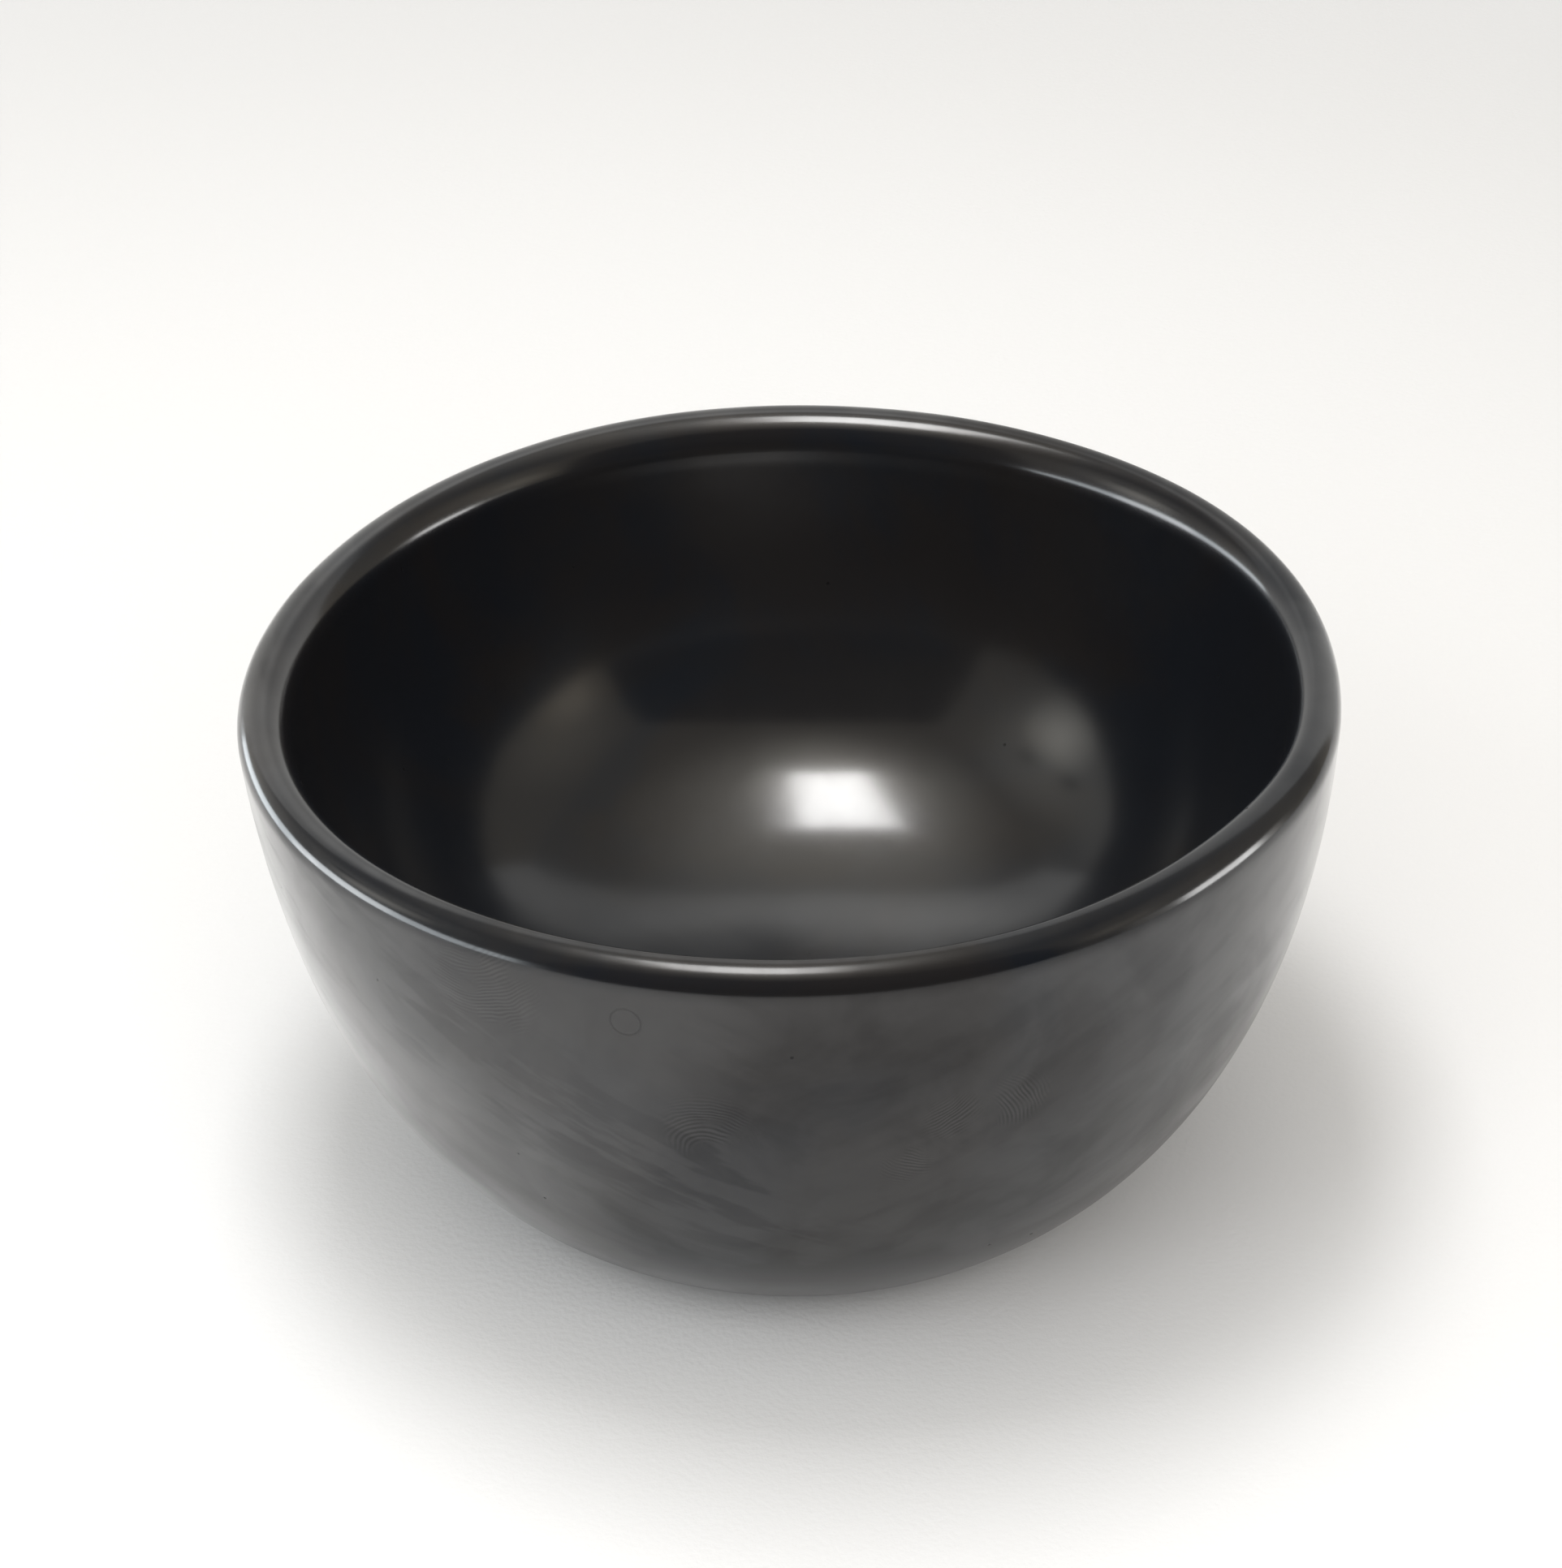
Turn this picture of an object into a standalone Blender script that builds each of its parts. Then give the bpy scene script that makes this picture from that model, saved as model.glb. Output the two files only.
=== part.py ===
# A small blackware bowl: one body of coiled, scraped, stone-burnished and smoke-fired clay.
# It stands on a flat spot at the origin, with +Z up, and its front faces -Y. Lengths are metres.

import math

import bmesh
import bpy

# Overall size
RIM_RADIUS = 0.060          # outside, just below the lip
HEIGHT = 0.0643             # table to the crest of the lip
BASE_RADIUS = 0.0293        # flat spot that the bowl stands on

# Clay thickness
RIM_WALL = 0.0058
FLOOR_THICKNESS = 0.0168

# Lip, rounded more softly outside than inside
LIP_OUTER_RADIUS = 0.0030
LIP_INNER_RADIUS = 0.0021

# Outer wall: it leaves the base at a slope and swells up to an upright rim
BASE_EDGE_RADIUS = 0.0080   # rolled edge between the flat spot and the wall
FOOT_SLOPE = math.radians(32)
FOOT_FULLNESS = 0.88        # how far the slope carries outward before the wall turns up
WALL_FULLNESS = 0.36        # how far the upright wall carries down from the rim

# Inner wall: a round basin, thicker towards the floor
BASIN_FLATNESS = 0.647      # how far the floor stays level
BASIN_STEEPNESS = 0.76      # how far the inside wall keeps its lean below the lip
BRINK_LEAN = math.radians(6.5)      # the inside wall's lean from upright, just below the lip

# Unevenness of the hand-built form
RIM_SHIFT = 0.00060         # rim set off to one side of the foot
RIM_OVAL = 0.00123
RIM_TRIANGLE = 0.00027
RIM_SQUARE = 0.00040
RIM_TILT = 0.00088
RIM_SADDLE = 0.00055        # two sides of the rim higher than the other two
WALL_SHIFT = 0.00073        # wall thinner at the front than at the back
WALL_TRIANGLE = 0.00023

# Swellings round the bowl: how many, their height and the heading of one
RIM_WAVES = (
    (1, RIM_SHIFT, math.radians(210)),
    (2, RIM_OVAL, math.radians(21)),
    (3, RIM_TRIANGLE, math.radians(46)),
    (4, RIM_SQUARE, math.radians(25)),
)
HEIGHT_WAVES = (
    (1, RIM_TILT, math.radians(29)),
    (2, RIM_SADDLE, math.radians(103)),
)
WALL_WAVES = (
    (1, WALL_SHIFT, math.radians(284)),
    (3, WALL_TRIANGLE, math.radians(24)),
)
RIM_POWER = 3               # how quickly the rim's unevenness fades below the lip

# A thumb's push outward at one place of the rim
PUSH_SIZE = 0.00104
PUSH_HEADING = math.radians(-19)
PUSH_WIDTH = math.radians(12)

# Fineness of the mesh
TURN_STEPS = 112
WALL_STEPS = 17
LIP_STEPS = 6
EDGE_STEPS = 4
FLOOR_RINGS = 2
MERGE = 1e-7                # points closer than this are one

# The lip's roundings take no more than the wall has
LIP_OUTER = min(LIP_OUTER_RADIUS, 0.6 * RIM_WALL)
LIP_INNER = min(LIP_INNER_RADIUS, RIM_WALL - LIP_OUTER)


def bezier(start, start_handle, end_handle, end, steps):
    """Points after the start of a cubic curve in the radius-height plane."""
    points = []
    for i in range(1, steps + 1):
        t = i / steps
        weights = ((1 - t) ** 3, 3 * (1 - t) ** 2 * t, 3 * (1 - t) * t ** 2, t ** 3)
        corners = (start, start_handle, end_handle, end)
        points.append(tuple(sum(w * c[k] for w, c in zip(weights, corners)) for k in (0, 1)))
    return points


def arc(centre, radius, first, last, steps):
    """Points after the start of an arc; angles run from +radius towards +height."""
    points = []
    for i in range(1, steps + 1):
        angle = first + (last - first) * i / steps
        points.append((centre[0] + radius * math.cos(angle), centre[1] + radius * math.sin(angle)))
    return points


def between(a, b, share):
    return (a[0] + (b[0] - a[0]) * share, a[1] + (b[1] - a[1]) * share)


def outer_section():
    """The clay's outer skin, from under the middle up to the crest of the lip."""
    quarter = math.pi / 2
    points = [(BASE_RADIUS * ring / FLOOR_RINGS, 0.0) for ring in range(FLOOR_RINGS + 1)]
    edge_centre = (BASE_RADIUS, BASE_EDGE_RADIUS)
    points += arc(edge_centre, BASE_EDGE_RADIUS, -quarter, -quarter + FOOT_SLOPE, EDGE_STEPS)

    foot = points[-1]
    shoulder = (RIM_RADIUS, HEIGHT - LIP_OUTER)
    corner = (RIM_RADIUS, foot[1] + (RIM_RADIUS - foot[0]) * math.tan(FOOT_SLOPE))
    foot_handle = between(foot, corner, FOOT_FULLNESS)
    shoulder_handle = between(shoulder, corner, WALL_FULLNESS)
    points += bezier(foot, foot_handle, shoulder_handle, shoulder, WALL_STEPS)

    lip_centre = (RIM_RADIUS - LIP_OUTER, HEIGHT - LIP_OUTER)
    points += arc(lip_centre, LIP_OUTER, 0.0, quarter, LIP_STEPS)
    return points


def inner_section():
    """The clay's inner skin, from the crest of the lip down to the middle of the floor."""
    quarter = math.pi / 2
    lip_centre = (RIM_RADIUS - RIM_WALL + LIP_INNER, HEIGHT - LIP_INNER)
    points = [(lip_centre[0], HEIGHT)]
    points += arc(lip_centre, LIP_INNER, quarter, 2 * quarter, LIP_STEPS)

    brink = points[-1]
    middle = (0.0, FLOOR_THICKNESS)
    corner = (brink[0], FLOOR_THICKNESS)
    level = between(brink, corner, BASIN_STEEPNESS)
    brink_handle = (level[0] - (brink[1] - level[1]) * math.tan(BRINK_LEAN), level[1])
    middle_handle = between(middle, corner, BASIN_FLATNESS)
    points += bezier(brink, brink_handle, middle_handle, middle, WALL_STEPS)
    return points


def turn(outer, inner):
    """Spin the section a full turn about the upright axis into one closed skin."""
    mesh = bmesh.new()
    inside = mesh.verts.layers.float.new("inside")
    crest = outer[-1][0]
    brink = RIM_RADIUS - RIM_WALL
    verts = []
    for radius, height in outer + inner:
        verts.append(mesh.verts.new((radius, 0.0, height)))
    for vert in verts[len(outer):]:
        # the inner skin's marks grow from the crest to the brink, so that the lip stays whole
        vert[inside] = min((crest - vert.co.x) / (crest - brink), 1.0)
    edges = [mesh.edges.new(pair) for pair in zip(verts, verts[1:])]
    bmesh.ops.spin(mesh, geom=verts + edges, cent=(0, 0, 0), axis=(0, 0, 1), dvec=(0, 0, 0),
                   angle=2 * math.pi, steps=TURN_STEPS, use_merge=True)
    bmesh.ops.remove_doubles(mesh, verts=mesh.verts, dist=MERGE)
    bmesh.ops.recalc_face_normals(mesh, faces=mesh.faces)
    return mesh


def swell(waves, heading):
    """Height of the given swellings at a heading."""
    return sum(size * math.cos(lobes * (heading - peak)) for lobes, size, peak in waves)


def thumb_push(heading):
    """Height of the thumb's push at a heading, measured the short way round."""
    away = math.remainder(heading - PUSH_HEADING, 2 * math.pi)
    return PUSH_SIZE * math.exp(-0.5 * (away / PUSH_WIDTH) ** 2)


def press_by_hand(mesh):
    """Bring the turned form out of round: most at the rim, nothing at the flat spot."""
    inside = mesh.verts.layers.float["inside"]
    for vert in mesh.verts:
        x, y, z = vert.co
        radius = math.hypot(x, y)
        if radius < MERGE:
            continue
        heading = math.atan2(y, x)
        level = z / HEIGHT
        rim = level ** RIM_POWER
        # inside, the unevenness carries farther down and fades towards the middle of the floor
        basin = level * radius / (RIM_RADIUS - RIM_WALL)
        fade = rim + vert[inside] * (basin - rim)
        uneven = swell(RIM_WAVES, heading) + thumb_push(heading)
        push = fade * (uneven + vert[inside] * swell(WALL_WAVES, heading))
        vert.co.x = x * (radius + push) / radius
        vert.co.y = y * (radius + push) / radius
        vert.co.z = z + rim * swell(HEIGHT_WAVES, heading)


def stand_on_origin(mesh):
    """Put the middle of the bowl's width and depth over the origin."""
    for axis in (0, 1):
        low = min(vert.co[axis] for vert in mesh.verts)
        high = max(vert.co[axis] for vert in mesh.verts)
        for vert in mesh.verts:
            vert.co[axis] -= (low + high) / 2


def burnished_clay():
    """Smoke-blackened slip, rubbed to a soft metallic shine with a stone."""
    material = bpy.data.materials.new("burnished_black_clay")
    material.use_nodes = True
    shader = material.node_tree.nodes["Principled BSDF"]
    shader.inputs["Base Color"].default_value = (0.014, 0.014, 0.015, 1.0)
    shader.inputs["Roughness"].default_value = 0.2
    shader.inputs["Metallic"].default_value = 0.0
    return material


for old in list(bpy.data.objects):
    bpy.data.objects.remove(old, do_unlink=True)

form = turn(outer_section(), inner_section())
press_by_hand(form)
stand_on_origin(form)
skin = bpy.data.meshes.new("bowl")
form.to_mesh(skin)
form.free()
skin.materials.append(burnished_clay())
skin.shade_smooth()
bowl = bpy.data.objects.new("bowl", skin)
bpy.context.collection.objects.link(bowl)
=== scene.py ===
# %% [markdown]
# A small blackware bowl stands on white paper inside a light tent.
# The real one was coiled, scraped, coated with slip, rubbed with a stone and smoke-fired, so it is one
# body of clay with a skin that is nearly a mirror.
# A mirror-like black surface shows mostly what stands around it, so this lesson spends as much care on
# the tent as on the clay. We start by loading the solid that the finer bowl has to match.

# %% Load the frame
import math

import bmesh
import bpy
from mathutils import Matrix, Vector, noise


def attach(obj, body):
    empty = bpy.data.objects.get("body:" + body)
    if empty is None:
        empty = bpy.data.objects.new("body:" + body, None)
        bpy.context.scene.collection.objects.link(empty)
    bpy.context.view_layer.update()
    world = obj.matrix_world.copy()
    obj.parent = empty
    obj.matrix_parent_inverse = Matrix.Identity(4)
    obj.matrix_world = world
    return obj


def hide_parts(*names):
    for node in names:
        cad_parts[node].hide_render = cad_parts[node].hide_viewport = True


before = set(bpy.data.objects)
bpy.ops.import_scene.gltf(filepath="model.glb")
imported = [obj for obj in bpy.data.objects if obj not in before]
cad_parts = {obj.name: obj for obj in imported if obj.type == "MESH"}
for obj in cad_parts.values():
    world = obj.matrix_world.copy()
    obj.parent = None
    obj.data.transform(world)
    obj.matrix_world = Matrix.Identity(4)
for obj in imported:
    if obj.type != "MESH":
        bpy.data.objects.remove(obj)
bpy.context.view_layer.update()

# %% [markdown]
# The bowl's sizes are written once, in metres. They are the solid's own sizes, so that the finer bowl
# and the solid are the same shape. Only the lip's inner side is rounded more softly than the solid's.
# The bowl stands at the origin with its front towards -Y.

# %% Sizes of the clay body
RIM_RADIUS = 0.060          # outside, just below the lip
HEIGHT = 0.0643             # table to the crest of the lip
BASE_RADIUS = 0.0293        # flat spot that the bowl stands on
RIM_WALL = 0.0058
FLOOR_THICKNESS = 0.0168
LIP_OUTER = 0.0030
BRINK_DEPTH = 0.0021        # the inside wall's curve starts this far below the crest
OVAL_WIDTH, OVAL_DEPTH = 0.0027, 0.0050
BASE_EDGE_RADIUS = 0.0080
FOOT_SLOPE = math.radians(32)
FOOT_FULLNESS = 0.88        # how far the slope carries outward before the wall turns up
WALL_FULLNESS = 0.36        # how far the upright wall carries down from the rim
BASIN_FLATNESS = 0.647
BASIN_STEEPNESS = 0.76
BRINK_LEAN = math.radians(6.5)
print("wall at the lip in mm:", RIM_WALL * 1000)

# %% [markdown]
# A turned form needs only one section: a line in the radius-height plane that runs from under the
# middle, up the outside, over the lip and down to the middle of the floor.
# Two easy curves make it. A cubic curve with four corners draws each long wall, and an arc rounds the
# lip and the base's edge. Inside, the lip's rounding is part of a tall oval rather than of a circle: it
# runs down to 4 mm below the crest, and the side lamps draw their bright lines in it.

# %% Curves for the section
def cubic(start, start_handle, end_handle, end, steps):
    """Points after the start of a cubic curve."""
    points = []
    for i in range(1, steps + 1):
        t = i / steps
        weights = ((1 - t) ** 3, 3 * (1 - t) ** 2 * t, 3 * (1 - t) * t ** 2, t ** 3)
        corners = (start, start_handle, end_handle, end)
        points.append(tuple(sum(w * c[k] for w, c in zip(weights, corners)) for k in (0, 1)))
    return points


def arc(centre, radius, first, last, steps, tall=None):
    """Points after the start of an arc, or of an oval that is tall; angles run from +radius to +height."""
    angles = [first + (last - first) * i / steps for i in range(1, steps + 1)]
    return [(centre[0] + radius * math.cos(a), centre[1] + (tall or radius) * math.sin(a)) for a in angles]


def between(a, b, share):
    return (a[0] + (b[0] - a[0]) * share, a[1] + (b[1] - a[1]) * share)


# %% Section of the outside
QUARTER = math.pi / 2
WALL_STEPS = 72
LIP_STEPS = 12
EDGE_STEPS = 6
FLOOR_RINGS = 14


def outer_section():
    points = [(BASE_RADIUS * ring / FLOOR_RINGS, 0.0) for ring in range(FLOOR_RINGS + 1)]
    points += arc((BASE_RADIUS, BASE_EDGE_RADIUS), BASE_EDGE_RADIUS, -QUARTER, -QUARTER + FOOT_SLOPE,
                  EDGE_STEPS)
    foot, shoulder = points[-1], (RIM_RADIUS, HEIGHT - LIP_OUTER)
    corner = (RIM_RADIUS, foot[1] + (RIM_RADIUS - foot[0]) * math.tan(FOOT_SLOPE))
    points += cubic(foot, between(foot, corner, FOOT_FULLNESS), between(shoulder, corner, WALL_FULLNESS),
                    shoulder, WALL_STEPS)
    points += arc((RIM_RADIUS - LIP_OUTER, HEIGHT - LIP_OUTER), LIP_OUTER, 0.0, QUARTER, LIP_STEPS)
    return points


# %% Section of the inside
JOIN_GAP = 0.0002           # the wall's points nearer than this to the oval's end make way for it


def inner_section():
    brink, middle = (RIM_RADIUS - RIM_WALL, HEIGHT - BRINK_DEPTH), (0.0, FLOOR_THICKNESS)
    corner = (brink[0], FLOOR_THICKNESS)
    level = between(brink, corner, BASIN_STEEPNESS)
    brink_handle = (level[0] - (brink[1] - level[1]) * math.tan(BRINK_LEAN), level[1])
    wall = cubic(brink, brink_handle, between(middle, corner, BASIN_FLATNESS), middle, WALL_STEPS)
    # the oval stops where it leans as much as the wall, so the two join without a crease
    tilt = math.atan(math.tan(BRINK_LEAN) * OVAL_DEPTH / OVAL_WIDTH)
    join = HEIGHT - OVAL_DEPTH * (1 - math.sin(tilt))
    wall = [point for point in wall if point[1] < join - JOIN_GAP]
    start = wall[0][0] + (join - wall[0][1]) * math.tan(BRINK_LEAN)
    oval = (RIM_RADIUS - RIM_WALL + OVAL_WIDTH, HEIGHT - OVAL_DEPTH)
    reach = (oval[0] - start) / math.cos(tilt)
    points = [(oval[0], HEIGHT)]
    points += arc(oval, reach, QUARTER, 2 * QUARTER - tilt, 2 * LIP_STEPS, OVAL_DEPTH)
    return points + wall


print("section points:", len(outer_section()), "outside,", len(inner_section()), "inside")

# %% [markdown]
# Spin turns the section about the upright axis. With use_merge the last copy joins the first, and
# remove_doubles closes the two poles, where many copies of one point lie on the axis.
# Each point also carries a mark that says how far it belongs to the inside. The mark grows from 0 at
# the lip's crest to 1 at the inner brink, and the polish and the wall's unevenness use it later.

# %% Turn the section
TURN_STEPS = 448
MERGE = 1e-7                # points closer than this are one


def turn(outer, inner):
    mesh = bmesh.new()
    inside = mesh.verts.layers.float.new("inside")
    crest, brink = outer[-1][0], RIM_RADIUS - RIM_WALL
    verts = [mesh.verts.new((radius, 0.0, height)) for radius, height in outer + inner]
    for vert in verts[len(outer):]:
        vert[inside] = min((crest - vert.co.x) / (crest - brink), 1.0)
    edges = [mesh.edges.new(pair) for pair in zip(verts, verts[1:])]
    bmesh.ops.spin(mesh, geom=verts + edges, cent=(0, 0, 0), axis=(0, 0, 1), dvec=(0, 0, 0),
                   angle=2 * math.pi, steps=TURN_STEPS, use_merge=True)
    bmesh.ops.remove_doubles(mesh, verts=mesh.verts, dist=MERGE)
    bmesh.ops.recalc_face_normals(mesh, faces=mesh.faces)
    return mesh


clay = turn(outer_section(), inner_section())
print("turned form:", len(clay.faces), "faces")

# %% [markdown]
# No potter's wheel made this bowl, so its rim is a little oval, tilted and wavy, and the lip bulges
# where a thumb pushed it out. Each unevenness is a swelling that repeats a whole number of times round
# the bowl: (how often, how much, heading of one peak). Outside, it fades quickly below the rim. Inside,
# it carries farther down and fades towards the middle of the floor.

# %% Press the form by hand
RIM_WAVES = (
    (1, 0.00060, math.radians(210)),
    (2, 0.00123, math.radians(21)),
    (3, 0.00027, math.radians(46)),
    (4, 0.00040, math.radians(25)),
)
HEIGHT_WAVES = ((1, 0.00088, math.radians(29)), (2, 0.00055, math.radians(103)))
WALL_WAVES = ((1, 0.00073, math.radians(284)), (3, 0.00023, math.radians(24)))
PUSH_SIZE, PUSH_HEADING, PUSH_WIDTH = 0.00104, math.radians(-19), math.radians(12)
RIM_POWER = 3               # how quickly the unevenness fades outside, below the rim


def swell(waves, heading):
    return sum(size * math.cos(lobes * (heading - peak)) for lobes, size, peak in waves)


def thumb_push(heading):
    away = math.remainder(heading - PUSH_HEADING, 2 * math.pi)
    return PUSH_SIZE * math.exp(-0.5 * (away / PUSH_WIDTH) ** 2)


def press_by_hand(mesh):
    inside = mesh.verts.layers.float["inside"]
    for vert in mesh.verts:
        x, y, z = vert.co
        radius, heading = math.hypot(x, y), math.atan2(y, x)
        if radius < MERGE:
            continue
        level = z / HEIGHT
        rim = level ** RIM_POWER
        basin = level * radius / (RIM_RADIUS - RIM_WALL)
        fade = rim + vert[inside] * (basin - rim)
        push = fade * (swell(RIM_WAVES, heading) + thumb_push(heading)
                       + vert[inside] * swell(WALL_WAVES, heading))
        vert.co.xy = Vector((x, y)) * (radius + push) / radius
        vert.co.z = z + rim * swell(HEIGHT_WAVES, heading)
    for axis in (0, 1):
        reach = [vert.co[axis] for vert in mesh.verts]
        bmesh.ops.translate(mesh, verts=mesh.verts,
                            vec=[-(min(reach) + max(reach)) / 2 if k == axis else 0 for k in range(3)])


press_by_hand(clay)
print("width and depth in mm:", [round(2000 * max(v.co[k] for v in clay.verts), 2) for k in (0, 1)])

# %% [markdown]
# Scraping and rubbing with a stone leave shallow flats and hollows, far too low to see as shape, but a
# polished skin shows them in the wavy edges of its highlights. Three sizes of smooth noise make them in
# the mesh itself rather than in a bump, so that the outline and the exported shape have them too.
# Every point only moves into the clay, so the bowl never grows past the solid, and the flat base stays.

# %% Scrape and rub the skin
BROAD_DEPTH, FLAT_DEPTH, SMALL_DEPTH = 0.000050, 0.000016, 0.0000030
BROAD_SCALE, FLAT_SCALE, SMALL_SCALE = 55, (130, 130, 210), 420     # waves of the noise in a metre
BROAD_SHIFT = Vector((3, 1, 7))     # which part of the endless noise is used
BASE_FACE = 0.0004          # the outside is left flat where it is lower than this
FADE_HEIGHT = 0.004         # the hollows fade out over this height above the base


def rub(mesh):
    mesh.normal_update()
    inside = mesh.verts.layers.float["inside"]
    for vert in mesh.verts:
        if vert.co.z < BASE_FACE and vert[inside] == 0:
            continue
        broad = noise.noise(vert.co * BROAD_SCALE + BROAD_SHIFT)
        flats = noise.noise(Vector([size * scale for size, scale in zip(vert.co, FLAT_SCALE)]))
        small = noise.noise(vert.co * SMALL_SCALE)
        depth = BROAD_DEPTH * (1 + broad) + FLAT_DEPTH * (1 + flats) + SMALL_DEPTH * (1 + small)
        vert.co -= vert.normal * depth * min(vert.co.z / FADE_HEIGHT, 1.0)


rub(clay)
print("hollows at most, in mm:", round(2000 * (BROAD_DEPTH + FLAT_DEPTH + SMALL_DEPTH), 3))

# %% [markdown]
# The bmesh becomes one object at the origin. It rides on the bowl's only body and stands in for the
# solid named bowl, which is hidden.

# %% Make the bowl's object
skin = bpy.data.meshes.new("burnished_bowl")
clay.to_mesh(skin)
clay.free()
skin.shade_smooth()
bowl = bpy.data.objects.new("burnished_bowl", skin)
bpy.context.collection.objects.link(bowl)
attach(bowl, "root")
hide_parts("bowl")
print("bowl:", sum(len(face.vertices) - 2 for face in skin.polygons), "triangles")

# %% [markdown]
# The skin is drawn with a few effects, each in its own node group with named inputs, so that one
# effect can be tuned without touching the others: strokes of the rubbing stone, cloudy smoke marks,
# scattered pits and dust, a curled scratch, and finger prints in the slip. All of them read the
# object's own coordinates, so the skin needs no unwrapping.

# %% Helpers for node trees
def new_group(name, inputs, outputs):
    """A shader group with its two ends; inputs are (name, socket type, value)."""
    tree = bpy.data.node_groups.new(name, "ShaderNodeTree")
    for label, kind, value in inputs:
        socket = tree.interface.new_socket(label, in_out="INPUT", socket_type=kind)
        if value is not None:
            socket.default_value = value
    for label, kind in outputs:
        tree.interface.new_socket(label, in_out="OUTPUT", socket_type=kind)
    return tree, tree.nodes.new("NodeGroupInput").outputs, tree.nodes.new("NodeGroupOutput").inputs


def add(tree, kind, links=None, **settings):
    """One node: settings name its properties, and links its inputs' sources or values."""
    node = tree.nodes.new(kind)
    for key, value in settings.items():
        setattr(node, key, value)
    for key, source in (links or {}).items():
        socket = node.inputs[key]
        if isinstance(source, bpy.types.NodeSocket):
            tree.links.new(source, socket)
        else:
            socket.default_value = source
    return node


def ramp(tree, source, low, high, to_low=0.0, to_high=1.0):
    """A smooth step of source from low to high."""
    return add(tree, "ShaderNodeMapRange", {0: source, 1: low, 2: high, 3: to_low, 4: to_high},
               interpolation_type="SMOOTHSTEP").outputs[0]


def calc(tree, operation, a, b=0.0):
    return add(tree, "ShaderNodeMath", {0: a, 1: b}, operation=operation).outputs[0]


def mix(tree, share, a, b):
    """a where share is 0, b where it is 1."""
    return add(tree, "ShaderNodeMix", {"Factor": share, "A": a, "B": b}, data_type="FLOAT").outputs[0]


VALUE, VECTOR = "NodeSocketFloat", "NodeSocketVector"

# %% [markdown]
# The stone's strokes are long thin ridges. Noise that is squeezed along one direction gives them: the
# pattern is turned by a Mapping node so that it runs along the stroke, then stretched. A second, wider
# noise lets the strokes come and go in patches.

# %% Group: strokes of the rubbing stone
strokes, s_in, s_out = new_group("Stone strokes", [
    ("Place", VECTOR, None), ("Turn", VECTOR, (0.0, 0.0, 0.0)), ("Fineness", VALUE, 900.0),
    ("Length", VALUE, 14.0)], [("Height", VALUE), ("Patches", VALUE)])
turned = add(strokes, "ShaderNodeMapping", {"Vector": s_in["Place"], "Rotation": s_in["Turn"]})
parts = add(strokes, "ShaderNodeSeparateXYZ", {0: turned.outputs[0]})
stretched = calc(strokes, "MULTIPLY", parts.outputs[2], s_in["Length"])
squeezed = add(strokes, "ShaderNodeCombineXYZ",
               {0: parts.outputs[0], 1: parts.outputs[1], 2: stretched})
scale = calc(strokes, "DIVIDE", s_in["Fineness"], s_in["Length"])
grooves = add(strokes, "ShaderNodeTexNoise", {"Vector": squeezed.outputs[0], "Scale": scale,
                                             "Detail": 3.0, "Roughness": 0.55})
zones = add(strokes, "ShaderNodeTexNoise", {"Vector": s_in["Place"], "Scale": 55.0, "Detail": 1.0})
patches = ramp(strokes, zones.outputs["Fac"], 0.42, 0.62)
strokes.links.new(grooves.outputs["Fac"], s_out["Height"])
strokes.links.new(patches, s_out["Patches"])
print(strokes.name, "has", len(strokes.nodes), "nodes")

# %% [markdown]
# Smoke and slip left the black a little uneven. Plain noise with a soft threshold makes such clouds, and
# one group serves for large and small ones. Pits, where a grain fell out, and dust are small round dots:
# a Voronoi texture has one point in each cell, and a share of the cells is chosen by their colour.

# %% Group: smoke clouds
clouds, c_in, c_out = new_group("Smoke clouds", [
    ("Place", VECTOR, None), ("Size", VALUE, 30.0), ("Low", VALUE, 0.4), ("High", VALUE, 0.6)],
    [("Mask", VALUE)])
drift = add(clouds, "ShaderNodeTexNoise", {"Vector": c_in["Place"], "Scale": c_in["Size"], "Detail": 5.0,
                                          "Roughness": 0.6, "Distortion": 0.6})
mask = ramp(clouds, drift.outputs["Fac"], c_in["Low"], c_in["High"])
clouds.links.new(mask, c_out["Mask"])
print(clouds.name, "has", len(clouds.nodes), "nodes")

# %% Group: pits
pits, p_in, p_out = new_group("Pits", [
    ("Place", VECTOR, None), ("Spacing", VALUE, 160.0), ("Radius", VALUE, 0.09), ("Share", VALUE, 0.3)],
    [("Mask", VALUE)])
cells = add(pits, "ShaderNodeTexVoronoi", {"Vector": p_in["Place"], "Scale": p_in["Spacing"]})
chosen = calc(pits, "LESS_THAN", add(pits, "ShaderNodeSeparateColor",
                                     {0: cells.outputs["Color"]}).outputs[0], p_in["Share"])
hole = ramp(pits, cells.outputs["Distance"], p_in["Radius"], calc(pits, "MULTIPLY", p_in["Radius"], 0.35))
pits.links.new(calc(pits, "MULTIPLY", chosen, hole), p_out["Mask"])
print(pits.name, "has", len(pits.nodes), "nodes")
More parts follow.
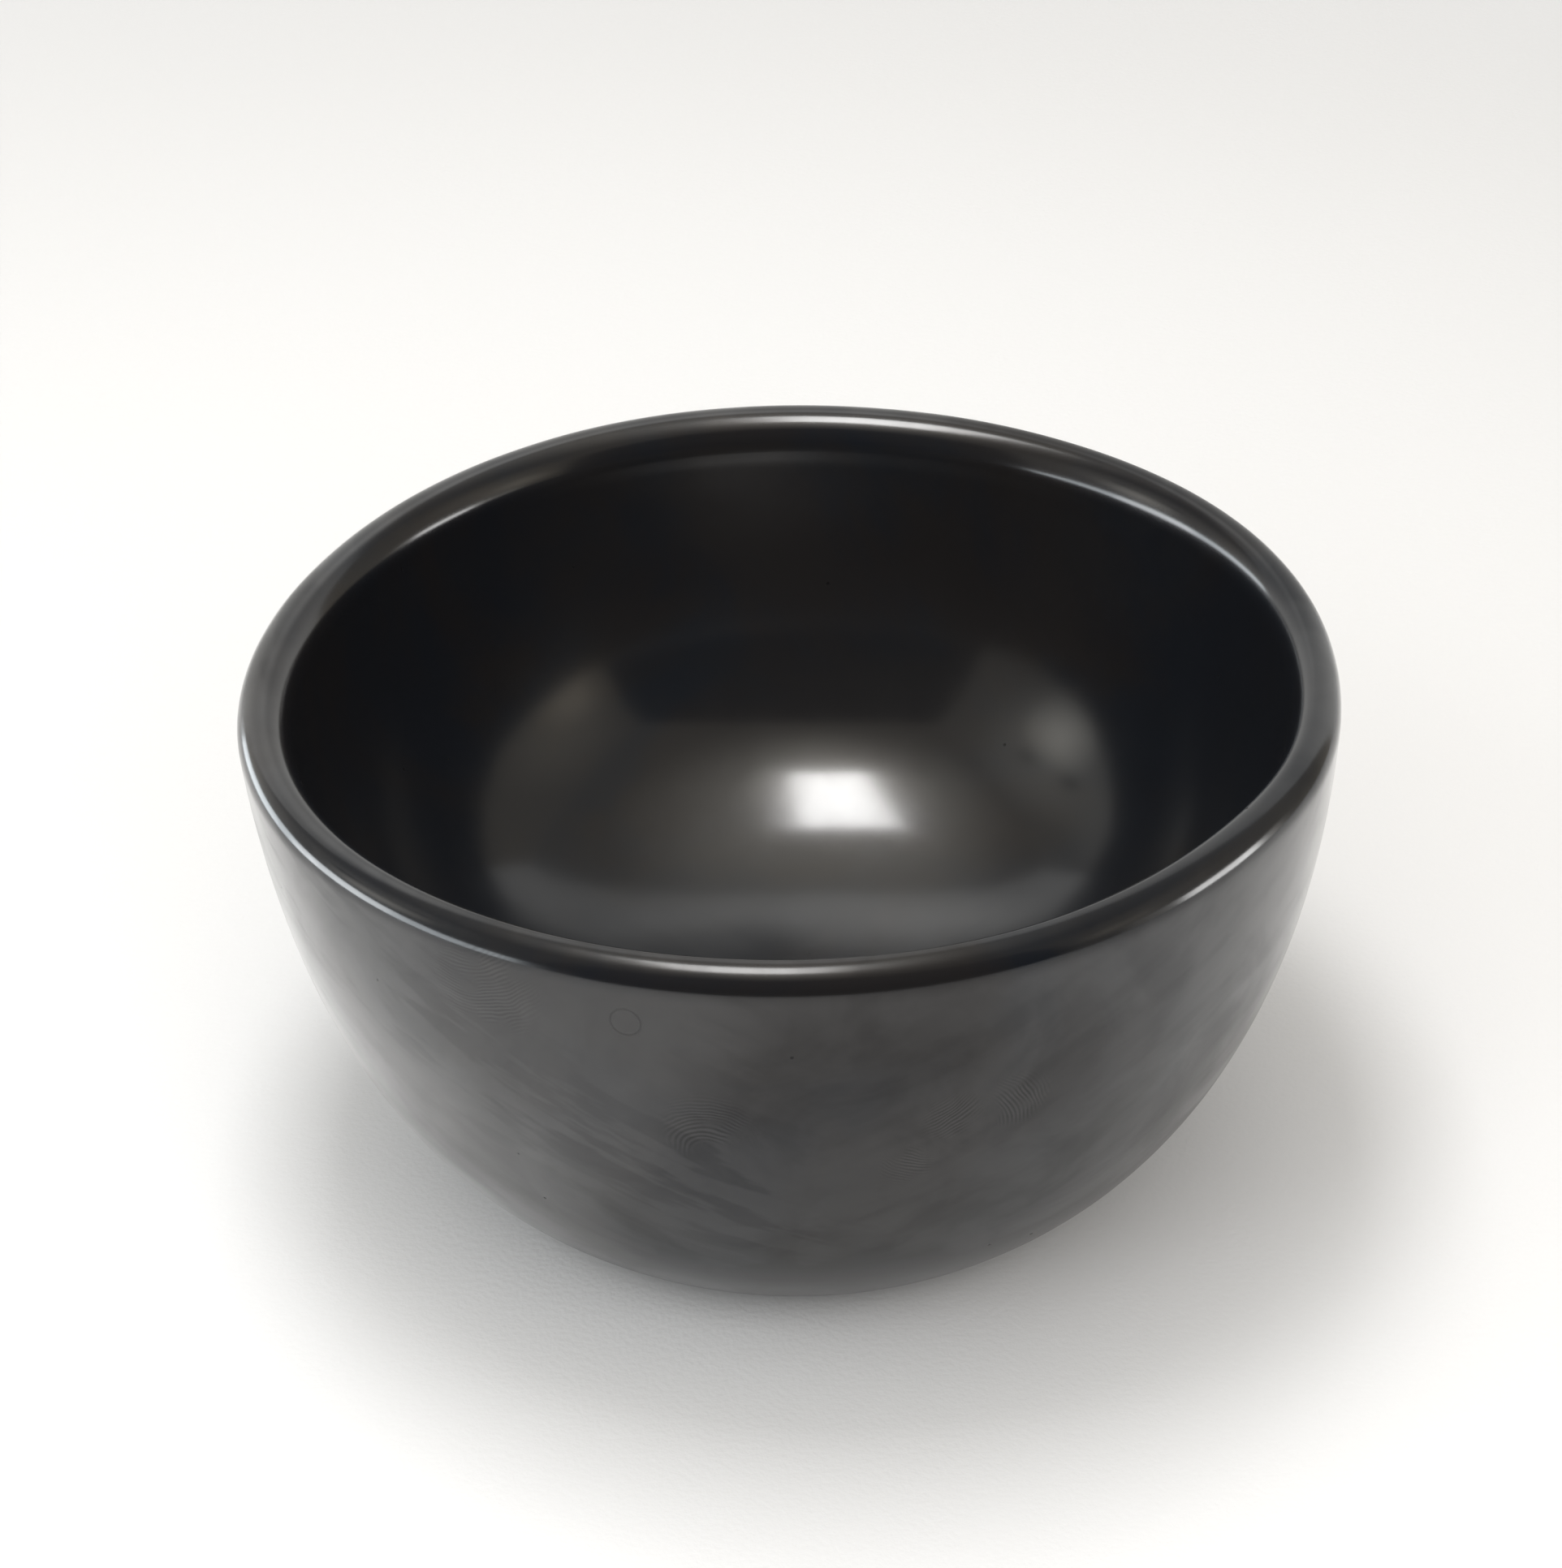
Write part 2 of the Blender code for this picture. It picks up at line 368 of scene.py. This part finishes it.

# %% [markdown]
# Scattered noise can't copy the marks that make this bowl itself, so two more groups place them one by one.
# One draws a thin ring, for the curled scratch high on the front. The other draws the fine ridges that a
# finger left in the wet slip: rings about a far point, seen only within a small patch.

# %% Group: curled scratch
curl, m_in, m_out = new_group("Curled scratch", [
    ("Place", VECTOR, None), ("Centre", VECTOR, (0.0, 0.0, 0.0)), ("Outer", VALUE, 0.0019),
    ("Inner", VALUE, 0.0016)], [("Mask", VALUE)])
far = add(curl, "ShaderNodeVectorMath", {0: m_in["Place"], 1: m_in["Centre"]},
          operation="DISTANCE").outputs["Value"]
outer_part = ramp(curl, far, m_in["Outer"], calc(curl, "MULTIPLY", m_in["Outer"], 0.7))
inner_part = ramp(curl, far, calc(curl, "MULTIPLY", m_in["Inner"], 0.9), m_in["Inner"])
curl.links.new(calc(curl, "MULTIPLY", outer_part, inner_part), m_out["Mask"])
print(curl.name, "has", len(curl.nodes), "nodes")

# %% Group: print of a finger
prints, f_in, f_out = new_group("Finger print", [
    ("Place", VECTOR, None), ("Centre", VECTOR, (0.0, 0.0, 0.0)), ("Whorl", VECTOR, (0.0, 0.0, 0.0)),
    ("Radius", VALUE, 0.005), ("Pitch", VALUE, 0.00043)], [("Ridges", VALUE)])
waver = add(prints, "ShaderNodeTexNoise", {"Vector": f_in["Place"], "Scale": 260.0, "Detail": 1.0})
from_whorl = add(prints, "ShaderNodeVectorMath", {0: f_in["Place"], 1: f_in["Whorl"]}, operation="DISTANCE")
turns = calc(prints, "ADD", calc(prints, "DIVIDE", from_whorl.outputs["Value"], f_in["Pitch"]),
             calc(prints, "MULTIPLY", waver.outputs["Fac"], 3.0))
wave = calc(prints, "SINE", calc(prints, "MULTIPLY", turns, 2 * math.pi))
from_centre = add(prints, "ShaderNodeVectorMath", {0: f_in["Place"], 1: f_in["Centre"]},
                  operation="DISTANCE")
patch = ramp(prints, from_centre.outputs["Value"], f_in["Radius"],
             calc(prints, "MULTIPLY", f_in["Radius"], 0.3))
broken = ramp(prints, waver.outputs["Fac"], 0.35, 0.55)
prints.links.new(calc(prints, "MULTIPLY", calc(prints, "MULTIPLY", wave, patch), broken), f_out["Ridges"])
print(prints.name, "has", len(prints.nodes), "nodes")

# %% [markdown]
# Now the material itself. The clay is almost black, and two layers of shine lie on it: a broad haze
# from the rubbed clay, and a coat that stands for the finest polish of the stone. Where the stone
# missed, the coat thins out and the skin looks darker, so most marks are drawn in the coat's weight.
# A metal would shine as strongly, but it would lose the black that the clay shows between its lights.

# %% Material: burnished black clay
burnished = bpy.data.materials.new("burnished_black_clay")
burnished.use_nodes = True
tree = burnished.node_tree
shader = tree.nodes["Principled BSDF"]
shader.inputs["IOR"].default_value = 1.36
shader.inputs["Metallic"].default_value = 0.0
shader.inputs["Coat IOR"].default_value = 1.5
shader.inputs["Coat Roughness"].default_value = 0.15
place = add(tree, "ShaderNodeTexCoord").outputs["Object"]
inside = add(tree, "ShaderNodeAttribute", attribute_name="inside").outputs["Fac"]


def group(source, **inputs):
    """One of the groups placed in the clay's material, with its own values."""
    node = tree.nodes.new("ShaderNodeGroup")
    node.node_tree = source
    tree.links.new(place, node.inputs["Place"])
    for key, value in inputs.items():
        node.inputs[key].default_value = value
    return node.outputs


DOWN_RIGHT, DOWN_LEFT = (0.0, math.radians(-26), 0.0), (0.0, math.radians(24), 0.0)
around = group(strokes, Fineness=1500.0, Length=22.0)
falling = group(strokes, Turn=DOWN_RIGHT, Fineness=800.0, Length=12.0)
rising = group(strokes, Turn=DOWN_LEFT, Fineness=800.0, Length=12.0)
bands_left = group(strokes, Turn=DOWN_RIGHT, Fineness=330.0, Length=5.0)
bands_right = group(strokes, Turn=DOWN_LEFT, Fineness=230.0, Length=4.0)
smoke = group(clouds, Size=26.0, Low=0.40, High=0.62)["Mask"]
mottle = group(clouds, Size=75.0, Low=0.38, High=0.66)["Mask"]
speckle = group(clouds, Size=230.0, Low=0.35, High=0.75)["Mask"]
pocks = group(pits, Spacing=420.0, Radius=0.11, Share=0.04)["Mask"]
dust = group(pits, Spacing=60.0, Radius=0.016, Share=0.25)["Mask"]
print("groups placed:", sum(node.type == "GROUP" for node in tree.nodes))

# %% [markdown]
# The finger prints and the curled scratch have their places in millimetres, as they were read off the
# picture. A place read off a picture is never exactly on the skin, so the nearest point of the mesh
# takes its stead. Each print gives its centre, the far point that its rings turn about, and its reach.

# %% Prints and scratch
PRINTS = (((-31, -51, 57), (-36, -51, 68), 7.5), ((-8.5, -57.5, 44), (-9, -60, 40), 6.0),
          ((16.5, -55.8, 44.5), (10, -58, 54), 4.0), ((12, -56, 38), (17, -58, 46), 3.5),
          ((23, -53.5, 45), (16, -58, 40), 4.5))
CURL_CENTRE = (-16.6, -57.0, 57.3)


def on_skin(point):
    """The nearest point of the bowl's own skin, in metres."""
    return bowl.closest_point_on_mesh(Vector(point) / 1000)[1]


scratch = calc(tree, "MULTIPLY", group(curl, Centre=on_skin(CURL_CENTRE))["Mask"], 0.8)
ridges = None
for centre, whorl, reach in PRINTS:
    found = group(prints, Centre=on_skin(centre), Whorl=Vector(whorl) / 1000, Radius=reach / 1000)["Ridges"]
    ridges = found if ridges is None else calc(tree, "ADD", ridges, found)
print("finger prints:", len(PRINTS))

# %% Colour of the skin
COOL_BLACK, WARM_BLACK = (0.0055, 0.0064, 0.0084, 1), (0.0078, 0.0070, 0.0070, 1)
# The pits are real dents that lose their coat; their darker black is painted shade inside the dents.
PIT_SHADE_BLACK, DUST_GREY = (0.002, 0.002, 0.002, 1), (0.45, 0.45, 0.43, 1)
smoked = add(tree, "ShaderNodeMix", {"Factor": smoke, "A": COOL_BLACK, "B": WARM_BLACK}, data_type="RGBA")
pit_shaded = add(tree, "ShaderNodeMix", {"Factor": pocks, "A": smoked.outputs["Result"], "B": PIT_SHADE_BLACK},
             data_type="RGBA")
dusted = add(tree, "ShaderNodeMix", {"Factor": dust, "A": pit_shaded.outputs["Result"], "B": DUST_GREY},
             data_type="RGBA")
tree.links.new(dusted.outputs["Result"], shader.inputs["Base Color"])
print("colours mixed:", sum(node.type == "MIX" for node in tree.nodes))

# %% [markdown]
# On the left half the stone was drawn down to the right, and on the right half down to the left, so a
# mask over the bowl's width passes from one slant to the other. The wide bands are the same strokes at
# a coarser size. A pair of numbers says where a soft edge starts and where it ends.

# %% Bands and strokes of the two sides
MIDDLE = (-0.008, 0.014)
LINE_SLOPE, LINE_HEIGHT, LINE_EDGE = 0.5, 0.030, (0.013, 0.002)
LEFT_BAND, RIGHT_BAND = (0.48, 0.58), (0.46, 0.66)
LEFT_SHARES, RIGHT_SHARE = (0.07, 0.22), 0.12       # how much coat the bands take

where = add(tree, "ShaderNodeSeparateXYZ", {0: place}).outputs
across, back, up = where[0], where[1], where[2]
outside = calc(tree, "SUBTRACT", 1.0, inside)
side = ramp(tree, across, *MIDDLE)

# the widest bands on the left gather along one line that runs down to the right
line = calc(tree, "ADD", up, calc(tree, "MULTIPLY", across, LINE_SLOPE))
off_line = calc(tree, "ABSOLUTE", calc(tree, "SUBTRACT", line, LINE_HEIGHT))
gathered = ramp(tree, off_line, *LINE_EDGE, *LEFT_SHARES)
band = mix(tree, side, calc(tree, "MULTIPLY", ramp(tree, bands_left["Height"], *LEFT_BAND), gathered),
           calc(tree, "MULTIPLY", ramp(tree, bands_right["Height"], *RIGHT_BAND), RIGHT_SHARE))
fine = mix(tree, side, calc(tree, "MULTIPLY", falling["Height"], falling["Patches"]),
           calc(tree, "MULTIPLY", rising["Height"], rising["Patches"]))
print("stroke groups:", sum(node.type == "GROUP" and node.node_tree == strokes for node in tree.nodes))

# %% [markdown]
# How well the stone reached a place sets how thick the coat is there. Outside, it pressed hardest high up
# at the two sides, more so on the left, and hardly reached the foot. Inside, it slid off the top of the
# back wall. The lip was rubbed less in front, and on its top at the back right. Then the marks take
# their part of the coat away.

# %% Reach of the stone
LEFT_LEAD = 0.7             # how much harder the stone pressed on the left
HIGH_SIDES, FOOT = (0.036, 0.080), (0.014, 0.030)
BACK_WALL, WALL_TOP, BELOW_LIP = (0.030, 0.048), (0.036, 0.050), (0.0605, 0.0590)
CREST, CREST_INSIDE = (0.0605, 0.0630), (0.9, 0.5)
FRONT_LIP, RIGHT_LIP, BACK_LIP = (-0.036, -0.054), (0.008, 0.030), (0.0, 0.020)
FOOT_COAT, LIP_COAT = 0.45, 0.75
WALL_LOSS, FRONT_LOSS, BACK_RIGHT_LOSS = 0.8, 0.38, 0.60

sideways = calc(tree, "SUBTRACT", calc(tree, "ABSOLUTE", across), calc(tree, "MULTIPLY", across, LEFT_LEAD))
pressed = calc(tree, "MAXIMUM", ramp(tree, calc(tree, "ADD", up, sideways), *HIGH_SIDES),
               ramp(tree, up, *FOOT, 0.0, FOOT_COAT))

missed = calc(tree, "MULTIPLY", ramp(tree, back, *BACK_WALL), ramp(tree, up, *WALL_TOP))
missed = calc(tree, "MULTIPLY", missed, ramp(tree, up, *BELOW_LIP))
reached = mix(tree, inside, pressed, calc(tree, "SUBTRACT", 1.0, calc(tree, "MULTIPLY", missed, WALL_LOSS)))

crest = calc(tree, "MULTIPLY", ramp(tree, up, *CREST), ramp(tree, inside, *CREST_INSIDE))
front = ramp(tree, back, *FRONT_LIP, 0.0, FRONT_LOSS)
back_right = calc(tree, "MULTIPLY", ramp(tree, across, *RIGHT_LIP, 0.0, BACK_RIGHT_LOSS),
                  ramp(tree, back, *BACK_LIP))
lip = calc(tree, "SUBTRACT", calc(tree, "SUBTRACT", LIP_COAT, front), back_right)
coat = mix(tree, crest, reached, lip)
print("nodes up to the reach of the stone:", len(tree.nodes))


# %% Marks in the coat
MOTTLE_LOSS, STROKE_LOSS, RIDGE_LOSS, MARK_LOSS = 0.22, 0.16, 0.22, 0.8


def take(coat, mask, share):
    """The coat with a share of the mask taken off it."""
    return calc(tree, "SUBTRACT", coat, calc(tree, "MULTIPLY", mask, share))


marks = calc(tree, "MAXIMUM", pocks, scratch)
coat = take(coat, band, outside)
coat = take(coat, calc(tree, "MULTIPLY", mottle, outside), MOTTLE_LOSS)
coat = take(coat, fine, calc(tree, "MULTIPLY", outside, STROKE_LOSS))
coat = take(coat, ridges, RIDGE_LOSS)
coat = take(coat, marks, MARK_LOSS)
coat = add(tree, "ShaderNodeClamp", {0: coat}).outputs[0]
tree.links.new(coat, shader.inputs["Coat Weight"])
print("the coat's weight comes from", shader.inputs["Coat Weight"].links[0].from_node.name)

# %% Haze of the skin
CLEAR_OUTSIDE, SMOKED_OUTSIDE = 0.17, 0.23
CLEAR_INSIDE, SPECKLED_INSIDE = 0.19, 0.24
MARK_HAZE = 0.3
haze = mix(tree, inside, mix(tree, smoke, CLEAR_OUTSIDE, SMOKED_OUTSIDE),
           mix(tree, speckle, CLEAR_INSIDE, SPECKLED_INSIDE))
rough = calc(tree, "ADD", haze, calc(tree, "MULTIPLY", marks, MARK_HAZE))
tree.links.new(rough, shader.inputs["Roughness"])
print("the haze comes from", shader.inputs["Roughness"].links[0].from_node.name)

# %% Relief of the skin
AROUND_HEIGHT, RIDGE_HEIGHT, PIT_DEPTH = 0.35, 0.12, 3.0    # against 1 for the slanting strokes
relief = calc(tree, "ADD", calc(tree, "MULTIPLY", around["Height"], AROUND_HEIGHT),
              calc(tree, "MULTIPLY", fine, outside))
relief = calc(tree, "ADD", relief, calc(tree, "MULTIPLY", ridges, RIDGE_HEIGHT))
relief = calc(tree, "SUBTRACT", relief, calc(tree, "MULTIPLY", pocks, PIT_DEPTH))
bump = add(tree, "ShaderNodeBump", {"Height": relief, "Strength": 0.5, "Distance": 0.000008})
tree.links.new(bump.outputs[0], shader.inputs["Normal"])
print("the clay's material has", len(tree.nodes), "nodes")
skin.materials.append(burnished)

# %% [markdown]
# The tent is white cloth on three sides and overhead, open towards the camera, with one lamp under the
# cloth overhead and one low at each side. The bowl mirrors all of it. In its hollow the lamp overhead
# is the bright patch, the cloth round it is the brownish grey oval, the side walls are the rings beside
# it, and the dark room behind the camera is the black notch above. A ready picture of a studio would be
# quicker, but its lights would lie in other places, and the hollow would not look like this one.
# Each cloth glows evenly and a little more near a lamp, which the glows (centre, reach, strength) give.
# A glow below zero is a darker spot. The camera doesn't see the cloth, but the bowl mirrors it.

# %% Helper for the tent's cloth
def card(name, width, height, centre, aim, colour, strength, glows=()):
    """A glowing cloth facing aim; each glow is (centre, reach, strength)."""
    mesh = bmesh.new()
    bmesh.ops.create_grid(mesh, x_segments=1, y_segments=1, size=0.5)
    bmesh.ops.scale(mesh, vec=(width, height, 1), verts=mesh.verts)
    turn_to = (Vector(aim) - Vector(centre)).to_track_quat("Z", "Y").to_matrix()
    bmesh.ops.transform(mesh, matrix=Matrix.Translation(centre) @ turn_to.to_4x4(), verts=mesh.verts)
    data = bpy.data.meshes.new(name)
    mesh.to_mesh(data)
    mesh.free()
    cloth = bpy.data.objects.new(name, data)
    bpy.context.collection.objects.link(cloth)
    material = bpy.data.materials.new(name)
    material.use_nodes = True
    nodes = material.node_tree
    nodes.nodes.clear()
    here = add(nodes, "ShaderNodeTexCoord").outputs["Object"]
    total = strength
    for middle, reach, peak in glows:
        away = add(nodes, "ShaderNodeVectorMath", {0: here, 1: middle}, operation="DISTANCE")
        total = calc(nodes, "ADD", total, ramp(nodes, away.outputs["Value"], reach, 0.0, 0.0, peak))
    light = add(nodes, "ShaderNodeEmission", {"Color": (*colour, 1), "Strength": total})
    add(nodes, "ShaderNodeOutputMaterial", {"Surface": light.outputs[0]})
    data.materials.append(material)
    cloth.visible_camera = False
    return cloth


# %% Tent and dark room
LEFT, RIGHT, FRONT, BACK, TOP = -0.43, 0.52, -0.41, 0.39, 0.61
WIDE, DEEP = RIGHT - LEFT, BACK - FRONT
mid_x, mid_y = (LEFT + RIGHT) / 2, (FRONT + BACK) / 2

WARM_CEILING, PLAIN_BACK = (1, 0.95, 0.85), (1, 0.99, 0.96)
WARM_LEFT, WARM_RIGHT = (1, 0.97, 0.89), (1, 0.90, 0.74)
card("cloth_overhead", WIDE, DEEP, (mid_x, mid_y, TOP), (mid_x, mid_y, 0), WARM_CEILING, 0.27,
     (((-0.06, 0.0, TOP), 0.45, 0.85), ((-0.07, -0.04, TOP), 0.19, 2.2), ((-0.04, 0.28, TOP), 0.30, 0.55),
      ((-0.06, -0.17, TOP), 0.20, 0.7)))
card("cloth_left", DEEP, TOP, (LEFT, mid_y, TOP / 2), (0, mid_y, TOP / 2), WARM_LEFT, 0.33,
     (((LEFT, -0.03, 0.37), 0.30, 0.45), ((LEFT, 0.34, 0.18), 0.32, 0.6), ((LEFT, -0.06, 0.26), 0.13, 1.5),
      ((LEFT, -0.071, 0.397), 0.045, -0.6), ((LEFT, 0.056, 0.33), 0.045, -0.6)))
card("cloth_right", DEEP, TOP, (RIGHT, mid_y, TOP / 2), (0, mid_y, TOP / 2), WARM_RIGHT, 0.34,
     (((RIGHT, -0.15, 0.35), 0.30, 0.25), ((RIGHT, -0.25, 0.25), 0.16, 0.6)))
card("cloth_back", WIDE, TOP, (mid_x, BACK, TOP / 2), (mid_x, 0, TOP / 2), PLAIN_BACK, 0.75,
     (((-0.05, BACK, 0.50), 0.26, 1.0), ((-0.40, BACK, 0.30), 0.45, 0.4), ((0.45, BACK, 0.30), 0.40, 0.15)))
card("dark_room", 2.4, 2.0, (0.0, -0.80, 1.0), (0, 0, 1.0), (0.60, 0.80, 1.0), 0.035)
print("tent in mm:", [round(v * 1000) for v in (WIDE, DEEP, TOP)])

# %% [markdown]
# The lamps are soft boxes just inside the cloth. An area lamp's brightness on its face is its power
# divided by pi and by its area, so the helper takes the face's brightness and works out the power.
# The side lamps stand low and would streak the paper, so they only draw highlights. The fills stand for
# light that bounces about the room: they light the paper softly, and the bowl doesn't mirror them.
# Each row below gives a lamp's name, width, height, centre, brightness and colour.

# %% Lamps
def soft_box(name, width, height, centre, aim, brightness, colour=(1, 1, 1)):
    data = bpy.data.lights.new(name, "AREA")
    data.shape = "RECTANGLE"
    data.size, data.size_y = width, height
    data.energy = brightness * math.pi * width * height
    data.color = colour
    lamp = bpy.data.objects.new(name, data)
    bpy.context.collection.objects.link(lamp)
    lamp.location = centre
    lamp.rotation_euler = (Vector(aim) - Vector(centre)).to_track_quat("-Z", "Y").to_euler()
    lamp.visible_camera = False
    return lamp


soft_box("lamp_overhead", 0.145, 0.25, (-0.065, 0.012, 0.605), (-0.065, 0.012, 0), 15.0)
for name, width, height, centre, brightness, colour in (
        ("lamp_left", 0.76, 0.13, (-0.425, -0.01, 0.070), 5.0, (0.88, 0.95, 1.0)),
        ("lamp_left_core", 0.20, 0.12, (-0.42, -0.03, 0.070), 3.0, (1, 1, 1)),
        ("lamp_right", 0.34, 0.14, (0.515, -0.08, 0.075), 0.6, (1, 0.97, 0.92)),
        ("lamp_right_core", 0.15, 0.12, (0.51, -0.04, 0.070), 8.0, (1, 1, 1))):
    soft_box(name, width, height, centre, (0, *centre[1:]), brightness, colour).visible_diffuse = False

for name, width, height, centre, brightness, colour in (
        ("fill_front", 1.4, 0.5, (-0.05, -0.50, 0.50), 2.8, (1, 0.985, 0.965)),
        ("fill_left", 0.4, 0.4, (-0.38, -0.25, 0.30), 2.2, (0.90, 0.96, 1.0)),
        ("fill_right", 0.4, 0.4, (0.46, -0.25, 0.38), 1.3, (1, 0.98, 0.95)),
        ("fill_overhead", 0.9, 0.75, (0, 0, 0.60), 0.4, (1, 0.98, 0.97))):
    soft_box(name, width, height, centre, (0, 0, 0), brightness, colour).visible_glossy = False

# %% [markdown]
# The floor is drawing paper with a fine grain. A bent sheet would make a seamless backdrop, but the
# camera looks down and sees only the flat part, so one flat sheet is enough. Near the bowl it is plain
# lit paper that keeps the shadow. Farther off, where the tent would end, it fades to plain white for
# the camera and in mirrors.

# %% Paper sheet
sheet = bmesh.new()
bmesh.ops.create_grid(sheet, x_segments=8, y_segments=8, size=6)
paper_mesh = bpy.data.meshes.new("paper")
sheet.to_mesh(paper_mesh)
sheet.free()
paper = bpy.data.objects.new("paper", paper_mesh)
bpy.context.collection.objects.link(paper)
print("paper in m:", [round(v, 1) for v in paper.dimensions[:2]])

# %% Paper's finish
WHITE_LEVEL = 0.95          # brightness of plain white, for the far paper and the world
FADE_START, FADE_END = 0.28, 0.60
white = bpy.data.materials.new("white_paper")
white.use_nodes = True
fibres = white.node_tree
matt = fibres.nodes["Principled BSDF"]
matt.inputs["Base Color"].default_value = (0.645, 0.645, 0.65, 1)
matt.inputs["Roughness"].default_value = 0.9
matt.inputs["Specular IOR Level"].default_value = 0.1
spot = add(fibres, "ShaderNodeTexCoord").outputs["Object"]
grain = add(fibres, "ShaderNodeTexNoise", {"Vector": spot, "Scale": 1300.0, "Detail": 2.0})
tooth = add(fibres, "ShaderNodeBump",
            {"Height": grain.outputs["Fac"], "Strength": 0.35, "Distance": 0.0002})
fibres.links.new(tooth.outputs[0], matt.inputs["Normal"])
path = add(fibres, "ShaderNodeLightPath").outputs
seen = calc(fibres, "ADD", calc(fibres, "ADD", path["Is Camera Ray"], path["Is Glossy Ray"]),
            path["Is Transmission Ray"])
distance = add(fibres, "ShaderNodeVectorMath", {0: spot}, operation="LENGTH").outputs["Value"]
away = ramp(fibres, distance, FADE_START, FADE_END)
plain = add(fibres, "ShaderNodeEmission", {"Color": (1, 1, 1, 1), "Strength": WHITE_LEVEL})
blend = add(fibres, "ShaderNodeMixShader", {0: calc(fibres, "MULTIPLY", seen, away), 1: matt.outputs[0],
                                           2: plain.outputs[0]})
fibres.links.new(blend.outputs[0], fibres.nodes["Material Output"].inputs["Surface"])
paper_mesh.materials.append(white)
print("paper fades to plain white from", FADE_START, "to", FADE_END, "m")

# %% World
world = bpy.data.worlds.new("studio")
bpy.context.scene.world = world
world.use_nodes = True
world.node_tree.nodes["Background"].inputs["Color"].default_value = (1, 1, 1, 1)
world.node_tree.nodes["Background"].inputs["Strength"].default_value = WHITE_LEVEL
print("world's brightness:", WHITE_LEVEL)

# %% [markdown]
# The camera looks down at 34 degrees from nearly half a metre, with a lens of 93 mm on a 36 mm sensor.
# These come from fitting the rim's two ovals and the outline in the picture at the same time.

# %% Camera
CAMERA_AIM = Vector((-0.00102, 0.00034, 0.04739))
CAMERA_DISTANCE = 0.45815
CAMERA_PITCH = math.radians(34.04)
lens = bpy.data.cameras.new("camera")
lens.lens, lens.sensor_width, lens.clip_start, lens.clip_end = 93.17, 36.0, 0.01, 20.0
camera = bpy.data.objects.new("camera", lens)
bpy.context.collection.objects.link(camera)
towards_camera = Vector((0, -math.cos(CAMERA_PITCH), math.sin(CAMERA_PITCH)))
camera.location = CAMERA_AIM + CAMERA_DISTANCE * towards_camera
camera.rotation_euler = (QUARTER - CAMERA_PITCH, 0, 0)
bpy.context.scene.camera = camera
bpy.context.scene.view_settings.view_transform = "Standard"
print("camera at", [round(v, 4) for v in camera.location])
